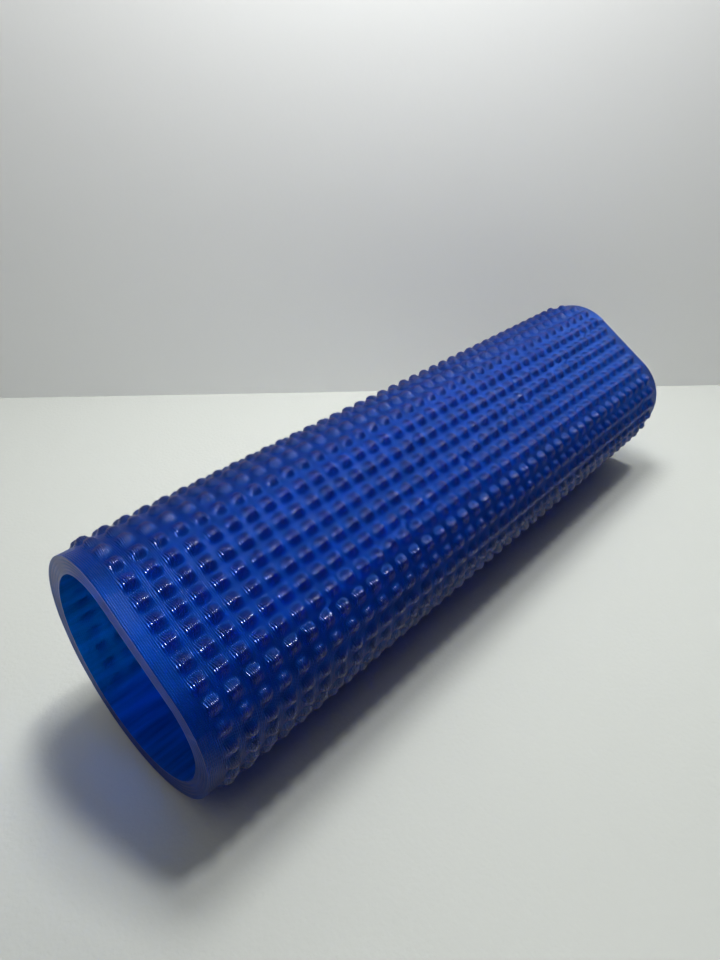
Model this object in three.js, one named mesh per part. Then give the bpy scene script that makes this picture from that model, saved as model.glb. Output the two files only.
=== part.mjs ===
// Knobbed roller sleeve: one printed tube, round with one flat side, open at both ends,
// covered with rows of small knobs. Millimetres, +Z up, tube axis along X, at rest on its knobs.
import * as THREE from 'three';

// ---- driving dimensions ----
const LENGTH = 95;            // end face to end face
const BARREL_RADIUS = 13.5;   // round part, measured in the valleys between the knobs
const FLAT_DISTANCE = 9.8;    // tube axis to the flat side, in the valleys
const CORNER_RADIUS = 7.9;    // rounding between the flat side and the barrel
const WALL = 2.0;             // valley to bore, the same all round
const END_BAND = 1.5;         // plain band at each end
const PITCH_ALONG = 2.3;      // aimed knob spacing along the tube
const PITCH_AROUND = 2.2;     // aimed knob spacing round the tube
const KNOB_HEIGHT = 0.65;     // knob tip above the valleys
const FLAT_TILT = 33;         // degrees from straight up to the flat side, turned to the front

const SLEEVE_BLUE = 0x0b2fae;

// ---- section outline ----
// The flat side is at the top of the section. The path starts in the middle of the flat and
// runs clockwise: half the flat, a corner, the barrel, the other corner, the rest of the flat.
function sectionOutline() {
  const cornerY = FLAT_DISTANCE - CORNER_RADIUS;
  const cornerX = Math.sqrt((BARREL_RADIUS - CORNER_RADIUS) ** 2 - cornerY ** 2);
  const meet = Math.atan2(cornerY, cornerX);
  const outline = new THREE.Path();
  outline.moveTo(0, FLAT_DISTANCE);
  outline.lineTo(cornerX, FLAT_DISTANCE);
  outline.absarc(cornerX, cornerY, CORNER_RADIUS, Math.PI / 2, meet, true);
  outline.absarc(0, 0, BARREL_RADIUS, meet, -Math.PI - meet, true);
  outline.absarc(-cornerX, cornerY, CORNER_RADIUS, Math.PI - meet, Math.PI / 2, true);
  outline.lineTo(0, FLAT_DISTANCE);
  return outline;
}

const outline = sectionOutline();
const perimeter = outline.getLength();
const rows = Math.round(perimeter / PITCH_AROUND);
const columns = Math.round((LENGTH - 2 * END_BAND) / PITCH_ALONG);
const columnPitch = (LENGTH - 2 * END_BAND) / columns;

// A point of the section at a share of the way round, moved out of the surface by offset.
function sectionPoint(share, offset) {
  const wrapped = share % 1;
  const point = outline.getPoint(wrapped);
  const tangent = outline.getTangent(wrapped);
  return new THREE.Vector2(point.x - tangent.y * offset, point.y + tangent.x * offset);
}

// ---- sleeve mesh ----
// Knob corners lie in the valleys and each knob rises to a tip in its middle.
function sleeveGeometry() {
  const positions = [];
  const indices = [];
  const addVertex = (x, section) => positions.push(x, section.x, section.y) / 3 - 1;
  const addRing = (x, offset) => Array.from(
    { length: rows },
    (_, row) => addVertex(x, sectionPoint(row / rows, offset)),
  );
  const addQuad = (a, b, c, d) => indices.push(a, c, b, a, d, c);
  const joinRings = (from, to) => {
    for (let row = 0; row < rows; row += 1) {
      const next = (row + 1) % rows;
      addQuad(from[row], from[next], to[next], to[row]);
    }
  };

  const end = LENGTH / 2;
  const fieldStart = END_BAND - end;
  const valleys = Array.from(
    { length: columns + 1 },
    (_, column) => addRing(fieldStart + column * columnPitch, 0),
  );
  for (let column = 0; column < columns; column += 1) {
    const near = valleys[column];
    const far = valleys[column + 1];
    const middle = fieldStart + (column + 0.5) * columnPitch;
    for (let row = 0; row < rows; row += 1) {
      const next = (row + 1) % rows;
      const tip = addVertex(middle, sectionPoint((row + 0.5) / rows, KNOB_HEIGHT));
      indices.push(near[next], near[row], tip);
      indices.push(far[next], near[next], tip);
      indices.push(far[row], far[next], tip);
      indices.push(near[row], far[row], tip);
    }
  }

  const outerStart = addRing(-end, 0);
  const outerEnd = addRing(end, 0);
  const boreStart = addRing(-end, -WALL);
  const boreEnd = addRing(end, -WALL);
  joinRings(outerStart, valleys[0]);
  joinRings(valleys[columns], outerEnd);
  joinRings(outerEnd, boreEnd);
  joinRings(boreEnd, boreStart);
  joinRings(boreStart, outerStart);

  const geometry = new THREE.BufferGeometry();
  geometry.setAttribute('position', new THREE.Float32BufferAttribute(positions, 3));
  geometry.setIndex(indices);
  geometry.computeVertexNormals();
  return geometry;
}

// The sleeve lies on two neighbouring rows of knobs, so its turn is a whole number of rows
// from the position with a valley at the bottom.
function restTurn() {
  const rowAngle = (perimeter / rows) / BARREL_RADIUS;
  const halfRow = (rows % 2) / 2;
  const wanted = THREE.MathUtils.degToRad(FLAT_TILT) / rowAngle;
  return (Math.round(wanted - halfRow) + halfRow) * rowAngle;
}

const sleeve = new THREE.Mesh(
  sleeveGeometry(),
  new THREE.MeshStandardMaterial({ color: SLEEVE_BLUE, roughness: 0.25, metalness: 0, flatShading: true }),
);
sleeve.name = 'knobbed_sleeve';
sleeve.rotation.x = restTurn();

// The origin is at the middle of the footprint, on the surface that the knobs touch.
const rest = new THREE.Box3().setFromObject(sleeve, true);
sleeve.position.set(0, -(rest.min.y + rest.max.y) / 2, -rest.min.z);

const roller = new THREE.Group();
roller.add(sleeve);

export default roller;
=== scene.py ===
"""Knobbed roller sleeve: the finished look of one printed tube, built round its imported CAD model.

The tube is modelled as a print is laid out: one knob, repeated into a flat sheet, wrapped round
the section, closed by plain bands and by a smooth bore. Everything is in metres.
"""
from __future__ import annotations

import logging
import math
from dataclasses import dataclass, field
from enum import Enum

import bmesh
import bpy
import numpy as np
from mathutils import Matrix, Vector


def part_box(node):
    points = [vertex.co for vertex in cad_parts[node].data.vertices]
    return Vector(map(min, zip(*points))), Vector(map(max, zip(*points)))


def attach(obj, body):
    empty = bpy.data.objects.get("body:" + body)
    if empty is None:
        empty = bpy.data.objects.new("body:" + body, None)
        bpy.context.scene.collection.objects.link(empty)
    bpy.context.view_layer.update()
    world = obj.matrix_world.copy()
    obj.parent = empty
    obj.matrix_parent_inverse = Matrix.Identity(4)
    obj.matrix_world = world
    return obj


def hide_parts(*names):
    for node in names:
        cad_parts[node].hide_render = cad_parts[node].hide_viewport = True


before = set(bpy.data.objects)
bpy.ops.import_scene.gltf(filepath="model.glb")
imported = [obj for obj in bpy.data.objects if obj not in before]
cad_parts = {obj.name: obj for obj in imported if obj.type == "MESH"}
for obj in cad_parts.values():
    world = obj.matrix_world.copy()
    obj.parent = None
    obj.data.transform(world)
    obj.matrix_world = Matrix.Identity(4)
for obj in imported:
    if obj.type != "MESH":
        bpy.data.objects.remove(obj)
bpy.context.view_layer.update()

log = logging.getLogger("roller")
MM = 0.001
NODE = "knobbed_sleeve"
BODY = "root"
LIFT = "lift"
TOUCH = 0.001 * MM
CREASE = math.radians(50)

Colour = tuple[float, float, float, float]
Place = tuple[float, float, float]


# ---------------------------------------------------------------- small modelling helpers

def deselect_all() -> None:
    """Leave edit mode and clear the selection."""
    if bpy.context.object and bpy.context.object.mode != "OBJECT":
        bpy.ops.object.mode_set(mode="OBJECT")
    bpy.ops.object.select_all(action="DESELECT")


def activate(piece: bpy.types.Object) -> None:
    """Select one object and make it active.

    Args:
        piece: the object to work on.
    """
    deselect_all()
    piece.select_set(True)
    bpy.context.view_layer.objects.active = piece


def vertex_array(piece: bpy.types.Object) -> np.ndarray:
    """Read the vertex positions of a mesh.

    Args:
        piece: a mesh object.

    Returns:
        An array of one row of x, y, z for each vertex.
    """
    flat = np.empty(len(piece.data.vertices) * 3)
    piece.data.vertices.foreach_get("co", flat)
    return flat.reshape(-1, 3)


def set_vertices(piece: bpy.types.Object, points: np.ndarray) -> None:
    """Write vertex positions back to a mesh.

    Args:
        piece: a mesh object.
        points: one row of x, y, z for each vertex.
    """
    piece.data.vertices.foreach_set("co", np.ascontiguousarray(points).ravel())
    piece.data.update()


def select_edges_at(piece: bpy.types.Object, x: float) -> None:
    """Enter edit mode with only the open edges at one station along X selected.

    Args:
        piece: a mesh object with open edges.
        x: the station.
    """
    activate(piece)
    bpy.ops.object.mode_set(mode="EDIT")
    bpy.ops.mesh.select_mode(type="EDGE")
    bpy.ops.mesh.select_all(action="DESELECT")
    shell = bmesh.from_edit_mesh(piece.data)
    for edge in shell.edges:
        if edge.is_boundary and all(abs(v.co.x - x) < TOUCH for v in edge.verts):
            edge.select_set(True)
    bmesh.update_edit_mesh(piece.data)


# ---------------------------------------------------------------- section

@dataclass(frozen=True)
class Section:
    """The tube's section: a barrel with one flat side and two rounded corners.

    Lengths round the section run clockwise from the middle of the flat side.
    """

    barrel_radius: float = 13.5 * MM
    flat_distance: float = 9.8 * MM
    corner_radius: float = 7.9 * MM

    @property
    def corner_y(self) -> float:
        """Height of the corner arcs' centres above the tube axis."""
        return self.flat_distance - self.corner_radius

    @property
    def corner_x(self) -> float:
        """Distance of the corner arcs' centres from the section's middle line."""
        return math.sqrt((self.barrel_radius - self.corner_radius) ** 2 - self.corner_y ** 2)

    @property
    def meet(self) -> float:
        """Angle above the section's horizontal where a corner meets the barrel."""
        return math.atan2(self.corner_y, self.corner_x)

    @property
    def stretches(self) -> tuple[float, float, float]:
        """Lengths of half the flat side, one corner and the whole barrel."""
        corner = self.corner_radius * (math.pi / 2 - self.meet)
        barrel = self.barrel_radius * (math.pi + 2 * self.meet)
        return self.corner_x, corner, barrel

    @property
    def perimeter(self) -> float:
        """Length all the way round."""
        half_flat, corner, barrel = self.stretches
        return 2 * half_flat + 2 * corner + barrel

    def normals_and_points(self, s: np.ndarray) -> tuple[np.ndarray, np.ndarray]:
        """Find points of the section and their outward directions.

        Args:
            s: lengths round the section.

        Returns:
            Two arrays of across and up: the outward unit directions, then the points.
        """
        half_flat, corner, barrel = self.stretches
        s = np.mod(s, self.perimeter)
        left = s > self.perimeter / 2
        run = np.where(left, self.perimeter - s, s)
        on_flat = run <= half_flat
        on_corner = ~on_flat & (run <= half_flat + corner)
        angle = np.where(
            on_corner,
            math.pi / 2 - (run - half_flat) / self.corner_radius,
            self.meet - (run - half_flat - corner) / self.barrel_radius,
        )
        angle = np.where(on_flat, math.pi / 2, angle)
        across, up = np.cos(angle), np.sin(angle)
        radius = np.where(on_corner, self.corner_radius, self.barrel_radius)
        x = np.where(on_flat, run, np.where(on_corner, self.corner_x, 0.0) + across * radius)
        y = np.where(on_flat, self.flat_distance, np.where(on_corner, self.corner_y, 0.0) + up * radius)
        side = np.where(left, -1.0, 1.0)
        return np.stack([side * across, up], -1), np.stack([side * x, y], -1)


# ---------------------------------------------------------------- finish

@dataclass(frozen=True)
class TranslucentPrint:
    """Glossy, translucent, deep blue plastic laid down in fine layers along the tube.

    The glow is light that the layers turn back, the clear share is light that goes through the
    wall, and the gloss is the clean skin over both, which is thicker on the knobs.
    """

    name: str = "blue_print_outside"
    # The first colour is the plastic's blue in the grooves between knobs, lightened by a painted glow
    # that stands in for light shining through the thinner wall; the second is the deeper navy of the
    # thicker knobs.
    valley_tone_and_glow: Colour = (0.0, 0.05, 0.36, 1.0)
    knob: Colour = (0.0, 0.01, 0.22, 1.0)
    cloud_scale: float = 420.0
    cloud_detail: float = 3.0
    cloud_range: tuple[float, float] = (0.3, 0.7)
    # On the bore these two stretch the cloud along the tube and darken it into streaks: painted shadows
    # of the knobs seen through the wall. On the outside the cloud is a random tone.
    cloud_and_shadow_along: float = 1.0
    cloud_and_shadow_dark: float = 0.7
    cloud_light: float = 1.15
    layer: float = 0.2 * MM
    bead_depth: float = 0.06 * MM
    glow: float = 0.045
    glow_edge: Colour = (0.02, 0.22, 0.9, 1.0)
    clear: float = 0.8
    glow_roughness: float = 0.3
    gloss_roughness: float = 0.12
    valley_gloss: float = 0.04
    knob_gloss: float = 0.7
    inner_gloss: float = 0.02
    ior: float = 1.5

    def material(self) -> bpy.types.Material:
        """Make the node material.

        Returns:
            The material.
        """
        material = bpy.data.materials.new(self.name)
        material.use_nodes = True
        nodes, links = material.node_tree.nodes, material.node_tree.links
        shader = nodes["Principled BSDF"]
        shader.inputs["Metallic"].default_value = self.glow
        shader.inputs["Roughness"].default_value = self.glow_roughness
        shader.inputs["IOR"].default_value = self.ior
        shader.inputs["Specular IOR Level"].default_value = self.inner_gloss
        shader.inputs["Specular Tint"].default_value = self.glow_edge
        shader.inputs["Transmission Weight"].default_value = self.clear
        shader.inputs["Coat Roughness"].default_value = self.gloss_roughness
        shader.inputs["Coat IOR"].default_value = self.ior
        coords = nodes.new("ShaderNodeTexCoord")
        lift = nodes.new("ShaderNodeAttribute")
        lift.attribute_name = LIFT
        links.new(self._colour(nodes, links, lift.outputs["Fac"], coords.outputs["Object"]),
                  shader.inputs["Base Color"])
        gloss = nodes.new("ShaderNodeMapRange")
        gloss.inputs["To Min"].default_value = self.valley_gloss
        gloss.inputs["To Max"].default_value = self.knob_gloss
        links.new(lift.outputs["Fac"], gloss.inputs["Value"])
        links.new(gloss.outputs["Result"], shader.inputs["Coat Weight"])
        bump = nodes.new("ShaderNodeBump")
        bump.inputs["Distance"].default_value = self.bead_depth
        links.new(self._bead_height(nodes, links, coords.outputs["Object"]), bump.inputs["Height"])
        links.new(bump.outputs["Normal"], shader.inputs["Normal"])
        links.new(bump.outputs["Normal"], shader.inputs["Coat Normal"])
        return material

    def _colour(self, nodes: bpy.types.Nodes, links: bpy.types.NodeLinks,
                lift: bpy.types.NodeSocket, place: bpy.types.NodeSocket) -> bpy.types.NodeSocket:
        """Colour of the plastic: azure in the grooves between knobs, where a painted glow stands in for
        light shining through the thin wall; the deeper navy tone of the thicker knobs; and a little
        cloudy.

        Args:
            nodes: the material's nodes.
            links: the material's links.
            lift: height of the surface, from the grooves between the knobs to the knob tops.
            place: the position on the tube.

        Returns:
            A colour socket.
        """
        # Painted glow: lighter azure in the grooves between knobs, fading by height to the knobs' deeper
        # navy.
        depth = nodes.new("ShaderNodeMix")
        depth.data_type = "RGBA"
        depth.inputs["A"].default_value = self.valley_tone_and_glow
        depth.inputs["B"].default_value = self.knob
        links.new(lift, depth.inputs["Factor"])
        stretch = nodes.new("ShaderNodeMapping")
        stretch.inputs["Scale"].default_value = (self.cloud_and_shadow_along, 1.0, 1.0)
        cloud = nodes.new("ShaderNodeTexNoise")
        cloud.inputs["Scale"].default_value = self.cloud_scale
        cloud.inputs["Detail"].default_value = self.cloud_detail
        shade = nodes.new("ShaderNodeMapRange")
        shade.inputs["From Min"].default_value, shade.inputs["From Max"].default_value = self.cloud_range
        shade.inputs["To Min"].default_value = self.cloud_and_shadow_dark
        shade.inputs["To Max"].default_value = self.cloud_light
        blend = nodes.new("ShaderNodeMix")
        blend.data_type = "RGBA"
        blend.blend_type = "MULTIPLY"
        blend.inputs["Factor"].default_value = 1.0
        links.new(place, stretch.inputs["Vector"])
        links.new(stretch.outputs["Vector"], cloud.inputs["Vector"])
        links.new(cloud.outputs["Fac"], shade.inputs["Value"])
        links.new(depth.outputs["Result"], blend.inputs["A"])
        links.new(shade.outputs["Result"], blend.inputs["B"])
        return blend.outputs["Result"]

    def _bead_height(self, nodes: bpy.types.Nodes, links: bpy.types.NodeLinks,
                     place: bpy.types.NodeSocket) -> bpy.types.NodeSocket:
        """Height of the layer beads: a row of round backs with sharp grooves between.

        Args:
            nodes: the material's nodes.
            links: the material's links.
            place: the position on the tube.

        Returns:
            A socket that runs from 0 in a groove to 1 on a bead.
        """
        split = nodes.new("ShaderNodeSeparateXYZ")
        links.new(place, split.inputs[0])
        height = split.outputs["X"]
        for operation, value in (("MULTIPLY", math.pi / self.layer), ("SINE", 0.0),
                                 ("ABSOLUTE", 0.0)):
            step = nodes.new("ShaderNodeMath")
            step.operation = operation
            step.inputs[1].default_value = value
            links.new(height, step.inputs[0])
            height = step.outputs[0]
        return height


OUTSIDE = TranslucentPrint()
# The bore's colour is a painted glow: the same plastic made a much lighter azure, standing in for light
# that comes through the wall; its darker streaks along the tube are painted shadows of the knobs seen
# through the wall.
BORE = TranslucentPrint(name="blue_print_bore", valley_tone_and_glow=(0.002, 0.22, 0.8, 1.0), cloud_scale=900.0,
                        cloud_and_shadow_along=0.12, cloud_and_shadow_dark=0.45, bead_depth=0.015 * MM)


# ---------------------------------------------------------------- sleeve

class EndFace(Enum):
    """The two open ends of the tube."""

    NEAR = -1
    FAR = 1


@dataclass
class KnobbedSleeve:
    """The printed tube and the sizes that it is built from."""

    section: Section = field(default_factory=Section)
    length: float = 95 * MM
    end_band: float = 1.5 * MM
    band_cuts: tuple[float, ...] = (0.3, 0.65, 0.05)
    wall: float = 2.0 * MM
    rows: int = 37
    columns: int = 40
    knob_height: float = 0.635 * MM
    knob_margin: float = 0.09
    steps_along: tuple[float, ...] = (0.0, 0.09, 0.18, 0.32, 0.5, 0.68, 0.82, 0.91)
    steps_around: tuple[float, ...] = (0.0, 0.09, 0.22, 0.4, 0.6, 0.78, 0.91)
    squareness: float = 2.4
    fullness: float = 1.7
    seam_start: float = -9.4 * MM
    seam_slope: float = 0.155
    seam_wobble: float = 0.45 * MM
    seam_reach: float = 0.42 * MM
    seam_height: float = 0.16 * MM
    seam_blobs: tuple[float, float] = (-0.2, 1.0)
    seam_waves: tuple[float, ...] = (7 * MM, 2.9 * MM, 1.1 * MM)
    seed: int = 11
    flat_tilt: float = math.radians(33)
    wall_lines: int = 5
    steps_per_line: int = 2
    line_groove: float = 0.07 * MM

    @property
    def column_pitch(self) -> float:
        """Knob spacing along the tube."""
        return (self.length - 2 * self.end_band) / self.columns

    @property
    def row_pitch(self) -> float:
        """Knob spacing round the tube, in the valleys."""
        return self.section.perimeter / self.rows

    @property
    def rest_turn(self) -> float:
        """Turn of the flat side from straight up, with two rows of knobs on the ground."""
        row_angle = self.row_pitch / self.section.barrel_radius
        half_row = (self.rows % 2) / 2
        return (round(self.flat_tilt / row_angle - half_row) + half_row) * row_angle

    def build(self) -> bpy.types.Object:
        """Model the whole tube.

        Returns:
            The finished mesh object, at the place of its CAD node.
        """
        sleeve = self._knob_sheet()
        self._wrap(sleeve)
        for end in EndFace:
            self._extend_band(sleeve, end)
        bore = self._bore()
        self._join(sleeve, bore)
        for end in EndFace:
            self._close_rim(sleeve, end)
        self._settle(sleeve)
        self._smooth(sleeve)
        return sleeve

    def _knob_sheet(self) -> bpy.types.Object:
        """Model one knob, dress it and repeat it into a flat sheet.

        Returns:
            The sheet: X along the tube, Y round it, Z out of it.
        """
        along, around = len(self.steps_along), len(self.steps_around)
        deselect_all()
        bpy.ops.mesh.primitive_grid_add(x_subdivisions=along, y_subdivisions=around, size=1.0,
                                        location=(0, 0, 0))
        knob = bpy.context.object
        knob.name = "sleeve_print"
        points = vertex_array(knob)
        index = np.rint((points[:, :2] + 0.5) * (along, around)).astype(int)
        u = np.array(self.steps_along + (1.0,))[index[:, 0]]
        v = np.array(self.steps_around + (1.0,))[index[:, 1]]
        height = self._pillow(u, v)
        height /= height.max()
        points[:, 0] = u * self.column_pitch
        points[:, 1] = v * self.row_pitch
        points[:, 2] = self.knob_height * height
        set_vertices(knob, points)
        knob.data.materials.append(OUTSIDE.material())
        lift = knob.data.attributes.new(LIFT, "FLOAT", "POINT")
        lift.data.foreach_set("value", height)
        for name, axis, count, pitch in (("along", 0, self.columns, self.column_pitch),
                                         ("around", 1, self.rows, self.row_pitch)):
            repeat = knob.modifiers.new(name, "ARRAY")
            repeat.count = count
            repeat.use_relative_offset = False
            repeat.use_constant_offset = True
            offset = [0.0, 0.0, 0.0]
            offset[axis] = pitch
            repeat.constant_offset_displace = offset
            repeat.use_merge_vertices = True
            repeat.merge_threshold = TOUCH
            activate(knob)
            bpy.ops.object.modifier_apply(modifier=name)
        return knob

    def _pillow(self, u: np.ndarray, v: np.ndarray) -> np.ndarray:
        """Height of a knob over its cell: a soft square dome.

        Args:
            u: share of the way along the cell.
            v: share of the way across the cell.

        Returns:
            The heights, as shares of the highest.
        """
        reach = 0.5 - self.knob_margin
        a = np.clip(np.abs(u - 0.5) / reach, 0, 1)
        b = np.clip(np.abs(v - 0.5) / reach, 0, 1)
        corner = self.squareness
        spread = np.clip((a ** corner + b ** corner) ** (1 / corner), 0, 1)
        return 0.5 + 0.5 * np.cos(math.pi * spread ** self.fullness)

    def _wrap(self, sheet: bpy.types.Object) -> None:
        """Bend the sheet round the section and sew its edges together under the barrel.

        Args:
            sheet: the flat sheet, which becomes a tube along X, in the middle of its axis.
        """
        points = vertex_array(sheet)
        points[:, 1] += self.rows // 2 * self.row_pitch
        points[:, 2] += self._seam_blobs(points[:, 0] + self.end_band, points[:, 1])
        out, on_section = self.section.normals_and_points(points[:, 1])
        bent = on_section + out * points[:, 2:3]
        points[:, 0] += self.end_band - self.length / 2
        points[:, 1:] = bent
        set_vertices(sheet, points)
        activate(sheet)
        bpy.ops.object.mode_set(mode="EDIT")
        bpy.ops.mesh.select_all(action="SELECT")
        bpy.ops.mesh.remove_doubles(threshold=2 * TOUCH)
        bpy.ops.object.mode_set(mode="OBJECT")

    def _seam_blobs(self, along: np.ndarray, around: np.ndarray) -> np.ndarray:
        """Height of the print's seam: small uneven blobs on a path that wanders over the flat side.

        Args:
            along: distances from the near end face.
            around: lengths round the section.

        Returns:
            The heights to add.
        """
        chance = np.random.default_rng(self.seed)
        count = len(self.seam_waves)
        phases = chance.uniform(0, 2 * math.pi, count)
        wobble = sum(np.sin(along / wave + phase) for wave, phase in zip(self.seam_waves, phases)) / count
        path = self.seam_start + self.seam_slope * along + self.seam_wobble * wobble
        half_way = self.section.perimeter / 2
        gap = np.abs((around - path + half_way) % self.section.perimeter - half_way)
        blob = chance.uniform(*self.seam_blobs, len(along))
        return self.seam_height * blob * np.clip(1 - (gap / self.seam_reach) ** 2, 0, 1)

    def _extend_band(self, sleeve: bpy.types.Object, end: EndFace) -> None:
        """Extrude the plain band from the last knobs to the end face.

        Args:
            sleeve: the tube.
            end: which end.
        """
        edge = end.value * (self.length / 2 - self.end_band)
        select_edges_at(sleeve, edge)
        for share in self.band_cuts:
            bpy.ops.mesh.extrude_region_move(
                TRANSFORM_OT_translate={"value": (end.value * self.end_band * share, 0, 0)})
        bpy.ops.object.mode_set(mode="OBJECT")

    def _bore(self) -> bpy.types.Object:
        """Model the smooth inside of the wall.

        Returns:
            An open tube along X that faces its own axis.
        """
        around = self.rows * len(self.steps_around)
        deselect_all()
        bpy.ops.mesh.primitive_cylinder_add(vertices=around, radius=self.section.barrel_radius,
                                            depth=self.length, end_fill_type="NOTHING",
                                            location=(0, 0, 0), rotation=(0, math.pi / 2, 0))
        bore = bpy.context.object
        bpy.ops.object.transform_apply(location=True, rotation=True, scale=True)
        points = vertex_array(bore)
        turn = np.mod(np.arctan2(points[:, 1], points[:, 2]), 2 * math.pi)
        index = np.rint(turn / (2 * math.pi) * around).astype(int) % around
        knob, step = np.divmod(index, len(self.steps_around))
        s = (knob + np.array(self.steps_around)[step]) * self.row_pitch
        out, on_section = self.section.normals_and_points(s)
        points[:, 1:] = on_section - out * self.wall
        set_vertices(bore, points)
        activate(bore)
        bpy.ops.object.mode_set(mode="EDIT")
        bpy.ops.mesh.select_all(action="SELECT")
        bpy.ops.mesh.flip_normals()
        bpy.ops.object.mode_set(mode="OBJECT")
        bore.data.materials.append(BORE.material())
        return bore

    def _join(self, sleeve: bpy.types.Object, bore: bpy.types.Object) -> None:
        """Put the bore into the tube's own mesh.

        Args:
            sleeve: the tube, which stays.
            bore: the bore, which becomes part of it.
        """
        activate(sleeve)
        bore.select_set(True)
        bpy.ops.object.join()

    def _close_rim(self, sleeve: bpy.types.Object, end: EndFace) -> None:
        """Bridge the outside and the bore at one end and score the wall's print lines into it.

        Args:
            sleeve: the tube with the bore joined.
            end: which end.
        """
        face_x = end.value * self.length / 2
        before = len(sleeve.data.vertices)
        select_edges_at(sleeve, face_x)
        cuts = self.wall_lines * self.steps_per_line - 1
        bpy.ops.mesh.bridge_edge_loops(number_cuts=cuts, interpolation="LINEAR")
        bpy.ops.object.mode_set(mode="OBJECT")
        for face in sleeve.data.polygons:
            if abs(face.center.x - face_x) < TOUCH:
                face.material_index = 0
        points = vertex_array(sleeve)
        rim = np.arange(before, len(points))
        depth = self._wall_share(points[rim, 1:])
        line = np.abs(np.sin(depth * self.wall_lines * math.pi))
        points[rim, 0] = face_x - end.value * self.line_groove * (1 - line)
        set_vertices(sleeve, points)

    def _wall_share(self, across_up: np.ndarray) -> np.ndarray:
        """Depth of points of the end face in the wall.

        Args:
            across_up: points of the section plane.

        Returns:
            0 at the outside, 1 at the bore.
        """
        s = self.section
        x, y = np.abs(across_up[:, 0]), across_up[:, 1]
        dx, dy = x - s.corner_x, y - s.corner_y
        in_corner = (np.arctan2(dy, dx) > s.meet) & (dx > 0)
        gap = np.where(in_corner, s.corner_radius - np.hypot(dx, dy),
                       s.barrel_radius - np.hypot(x, y))
        gap = np.where((dx <= 0) & (dy > 0), s.flat_distance - y, gap)
        return np.clip(gap / self.wall, 0, 1)

    def _settle(self, sleeve: bpy.types.Object) -> None:
        """Turn the tube to its rest and put it where its CAD node stands.

        Args:
            sleeve: the finished tube on its own axis.
        """
        points = vertex_array(sleeve)
        turn = self.rest_turn
        across, up = points[:, 1].copy(), points[:, 2].copy()
        points[:, 1] = across * math.cos(turn) - up * math.sin(turn)
        points[:, 2] = across * math.sin(turn) + up * math.cos(turn)
        low, high = (np.array(corner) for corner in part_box(NODE))
        middle = (points.min(0) + points.max(0)) / 2
        points[:, 1] += (low[1] + high[1]) / 2 - middle[1]
        points[:, 2] += low[2] - points[:, 2].min()
        set_vertices(sleeve, points)

    def _smooth(self, sleeve: bpy.types.Object) -> None:
        """Shade the tube smooth, and keep the creases between knobs and the rim's edges crisp.

        Args:
            sleeve: the finished tube.
        """
        activate(sleeve)
        bpy.ops.object.shade_smooth_by_angle(angle=CREASE)


# ---------------------------------------------------------------- studio

@dataclass(frozen=True)
class MattFinish:
    """A matt surface with a fine grain, clear from behind so that it never hides the tube."""

    name: str
    colour: Colour
    roughness: float
    grain: float
    grain_scale: float = 1800.0
    shine: float = 0.1

    def material(self) -> bpy.types.Material:
        """Make the node material.

        Returns:
            The material.
        """
        material = bpy.data.materials.new(self.name)
        material.use_nodes = True
        nodes, links = material.node_tree.nodes, material.node_tree.links
        shader = nodes["Principled BSDF"]
        shader.inputs["Base Color"].default_value = self.colour
        shader.inputs["Roughness"].default_value = self.roughness
        shader.inputs["Specular IOR Level"].default_value = self.shine
        coords = nodes.new("ShaderNodeTexCoord")
        noise = nodes.new("ShaderNodeTexNoise")
        noise.inputs["Scale"].default_value = self.grain_scale
        bump = nodes.new("ShaderNodeBump")
        bump.inputs["Distance"].default_value = self.grain
        links.new(coords.outputs["Object"], noise.inputs["Vector"])
        links.new(noise.outputs["Fac"], bump.inputs["Height"])
        links.new(bump.outputs["Normal"], shader.inputs["Normal"])
        mix = nodes.new("ShaderNodeMixShader")
        geometry = nodes.new("ShaderNodeNewGeometry")
        clear = nodes.new("ShaderNodeBsdfTransparent")
        links.new(geometry.outputs["Backfacing"], mix.inputs["Fac"])
        links.new(shader.outputs["BSDF"], mix.inputs[1])
        links.new(clear.outputs["BSDF"], mix.inputs[2])
        links.new(mix.outputs["Shader"], nodes["Material Output"].inputs["Surface"])
        return material


@dataclass(frozen=True)
class Lamp:
    """A square area lamp: a glossy one shows only in reflections, any other never shows in them."""

    name: str
    place: Place
    aim: Place
    size: float
    power: float
    glossy: bool = False

    def build(self) -> None:
        """Hang the lamp and turn it to its aim."""
        data = bpy.data.lights.new(self.name, "AREA")
        data.shape = "RECTANGLE"
        data.size = data.size_y = self.size
        data.energy = self.power
        light = bpy.data.objects.new(self.name, data)
        light.visible_glossy = self.glossy
        light.visible_diffuse = not self.glossy
        light.location = self.place
        facing = Vector(self.aim) - Vector(self.place)
        light.rotation_euler = facing.to_track_quat("-Z", "Y").to_euler()
        bpy.context.collection.objects.link(light)


DESK = MattFinish("desk_white", (0.42, 0.435, 0.41, 1.0), roughness=0.45, grain=0.05 * MM)
WALL = MattFinish("wall_paper", (0.8, 0.81, 0.8, 1.0), roughness=0.9, grain=0.01 * MM)
ON_TUBE = (0.0, 0.0, 0.01)
LAMPS = (
    Lamp("lamp", (0.04, -0.147, 0.45), ON_TUBE, size=0.06, power=4.5, glossy=True),
    Lamp("key", (0.08, -0.03, 0.4), ON_TUBE, size=0.05, power=0.8),
    Lamp("wall_wash", (0.0145, 0.0245, 0.17), (0.05, 0.035, 0.09), size=0.05, power=0.3),
    Lamp("fill", (-0.15, 0.0, 0.3), (0.0, 0.0, 0.0), size=0.3, power=0.24),
)


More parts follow.
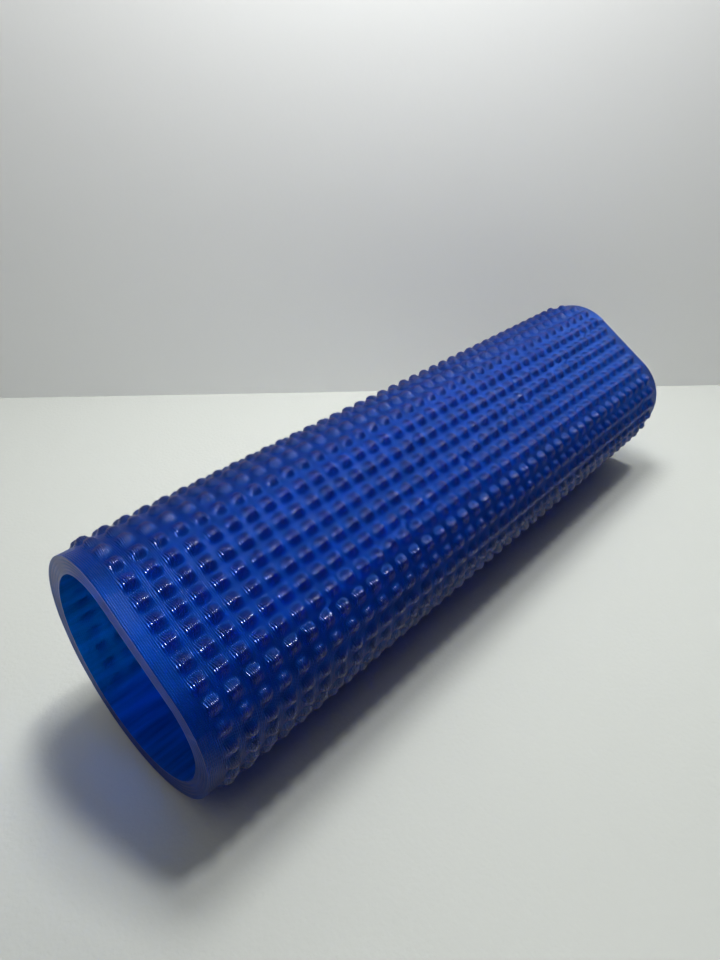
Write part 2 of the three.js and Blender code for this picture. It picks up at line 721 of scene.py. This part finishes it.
@dataclass
class Studio:
    """Pale desk, pale wall, soft lights and the camera."""

    eye: Vector = field(default_factory=lambda: Vector((-62.74, -45.43, 65.0)) * MM)
    gaze: Vector = field(default_factory=lambda: Vector((0.6109, 0.5669, -0.5527)))
    sensor_width: float = 36.0
    lens: float = 32.7075
    clip: tuple[float, float] = (0.005, 10.0)
    half_span: float = 1.0
    wall_foot: Vector = field(default_factory=lambda: Vector((35.6, 45.8, 0.0)) * MM)
    wall_run: Vector = field(default_factory=lambda: Vector((115.4, -114.5, 0.0)).normalized())
    wall_height: float = 0.16
    room_colour: Colour = (0.8, 0.85, 0.9, 1.0)
    room_strength: float = 0.05

    def build(self) -> None:
        """Set up the whole studio."""
        self._camera()
        self._desk()
        self._wall()
        self._room()
        for lamp in LAMPS:
            lamp.build()

    def _camera(self) -> None:
        """Place the camera and use plain display colours."""
        bpy.context.scene.view_settings.view_transform = "Standard"
        data = bpy.data.cameras.new("camera")
        data.sensor_fit = "HORIZONTAL"
        data.sensor_width = self.sensor_width
        data.lens = self.lens
        data.clip_start, data.clip_end = self.clip
        camera = bpy.data.objects.new("camera", data)
        camera.location = self.eye
        camera.rotation_euler = self.gaze.to_track_quat("-Z", "Y").to_euler()
        bpy.context.collection.objects.link(camera)
        bpy.context.scene.camera = camera

    def _sheet(self, name: str, finish: MattFinish) -> bpy.types.Object:
        """Lay a flat backdrop sheet on the ground.

        Args:
            name: the object's name.
            finish: its finish.

        Returns:
            The sheet.
        """
        deselect_all()
        bpy.ops.mesh.primitive_plane_add(size=2 * self.half_span, location=(0, 0, 0))
        sheet = bpy.context.object
        sheet.name = name
        sheet.data.materials.append(finish.material())
        return sheet

    def _desk(self) -> None:
        """Lay the desk under the tube."""
        self._sheet("desk", DESK)

    def _wall(self) -> None:
        """Stand the wall behind the tube."""
        wall = self._sheet("wall", WALL)
        for vertex in wall.data.vertices:
            along = vertex.co.x
            height = (vertex.co.y / self.half_span + 1) * self.wall_height / 2
            vertex.co = self.wall_foot + self.wall_run * along + Vector((0, 0, height))
        wall.data.update()

    def _room(self) -> None:
        """Surround everything with a dim grey room."""
        world = bpy.data.worlds.new("room")
        world.use_nodes = True
        background = world.node_tree.nodes["Background"]
        background.inputs["Color"].default_value = self.room_colour
        background.inputs["Strength"].default_value = self.room_strength
        bpy.context.scene.world = world


def tie_to_model(sleeve: bpy.types.Object) -> None:
    """Let the tube stand for its CAD node and ride on its body.

    Args:
        sleeve: the finished tube.
    """
    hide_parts(NODE)
    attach(sleeve, BODY)


def main() -> None:
    """Build the tube and its studio."""
    logging.basicConfig(level=logging.INFO, format="%(name)s: %(message)s")
    sleeve = KnobbedSleeve().build()
    tie_to_model(sleeve)
    log.info("%s: %d faces", sleeve.name, len(sleeve.data.polygons))
    Studio().build()


if __name__ == "__main__":
    main()
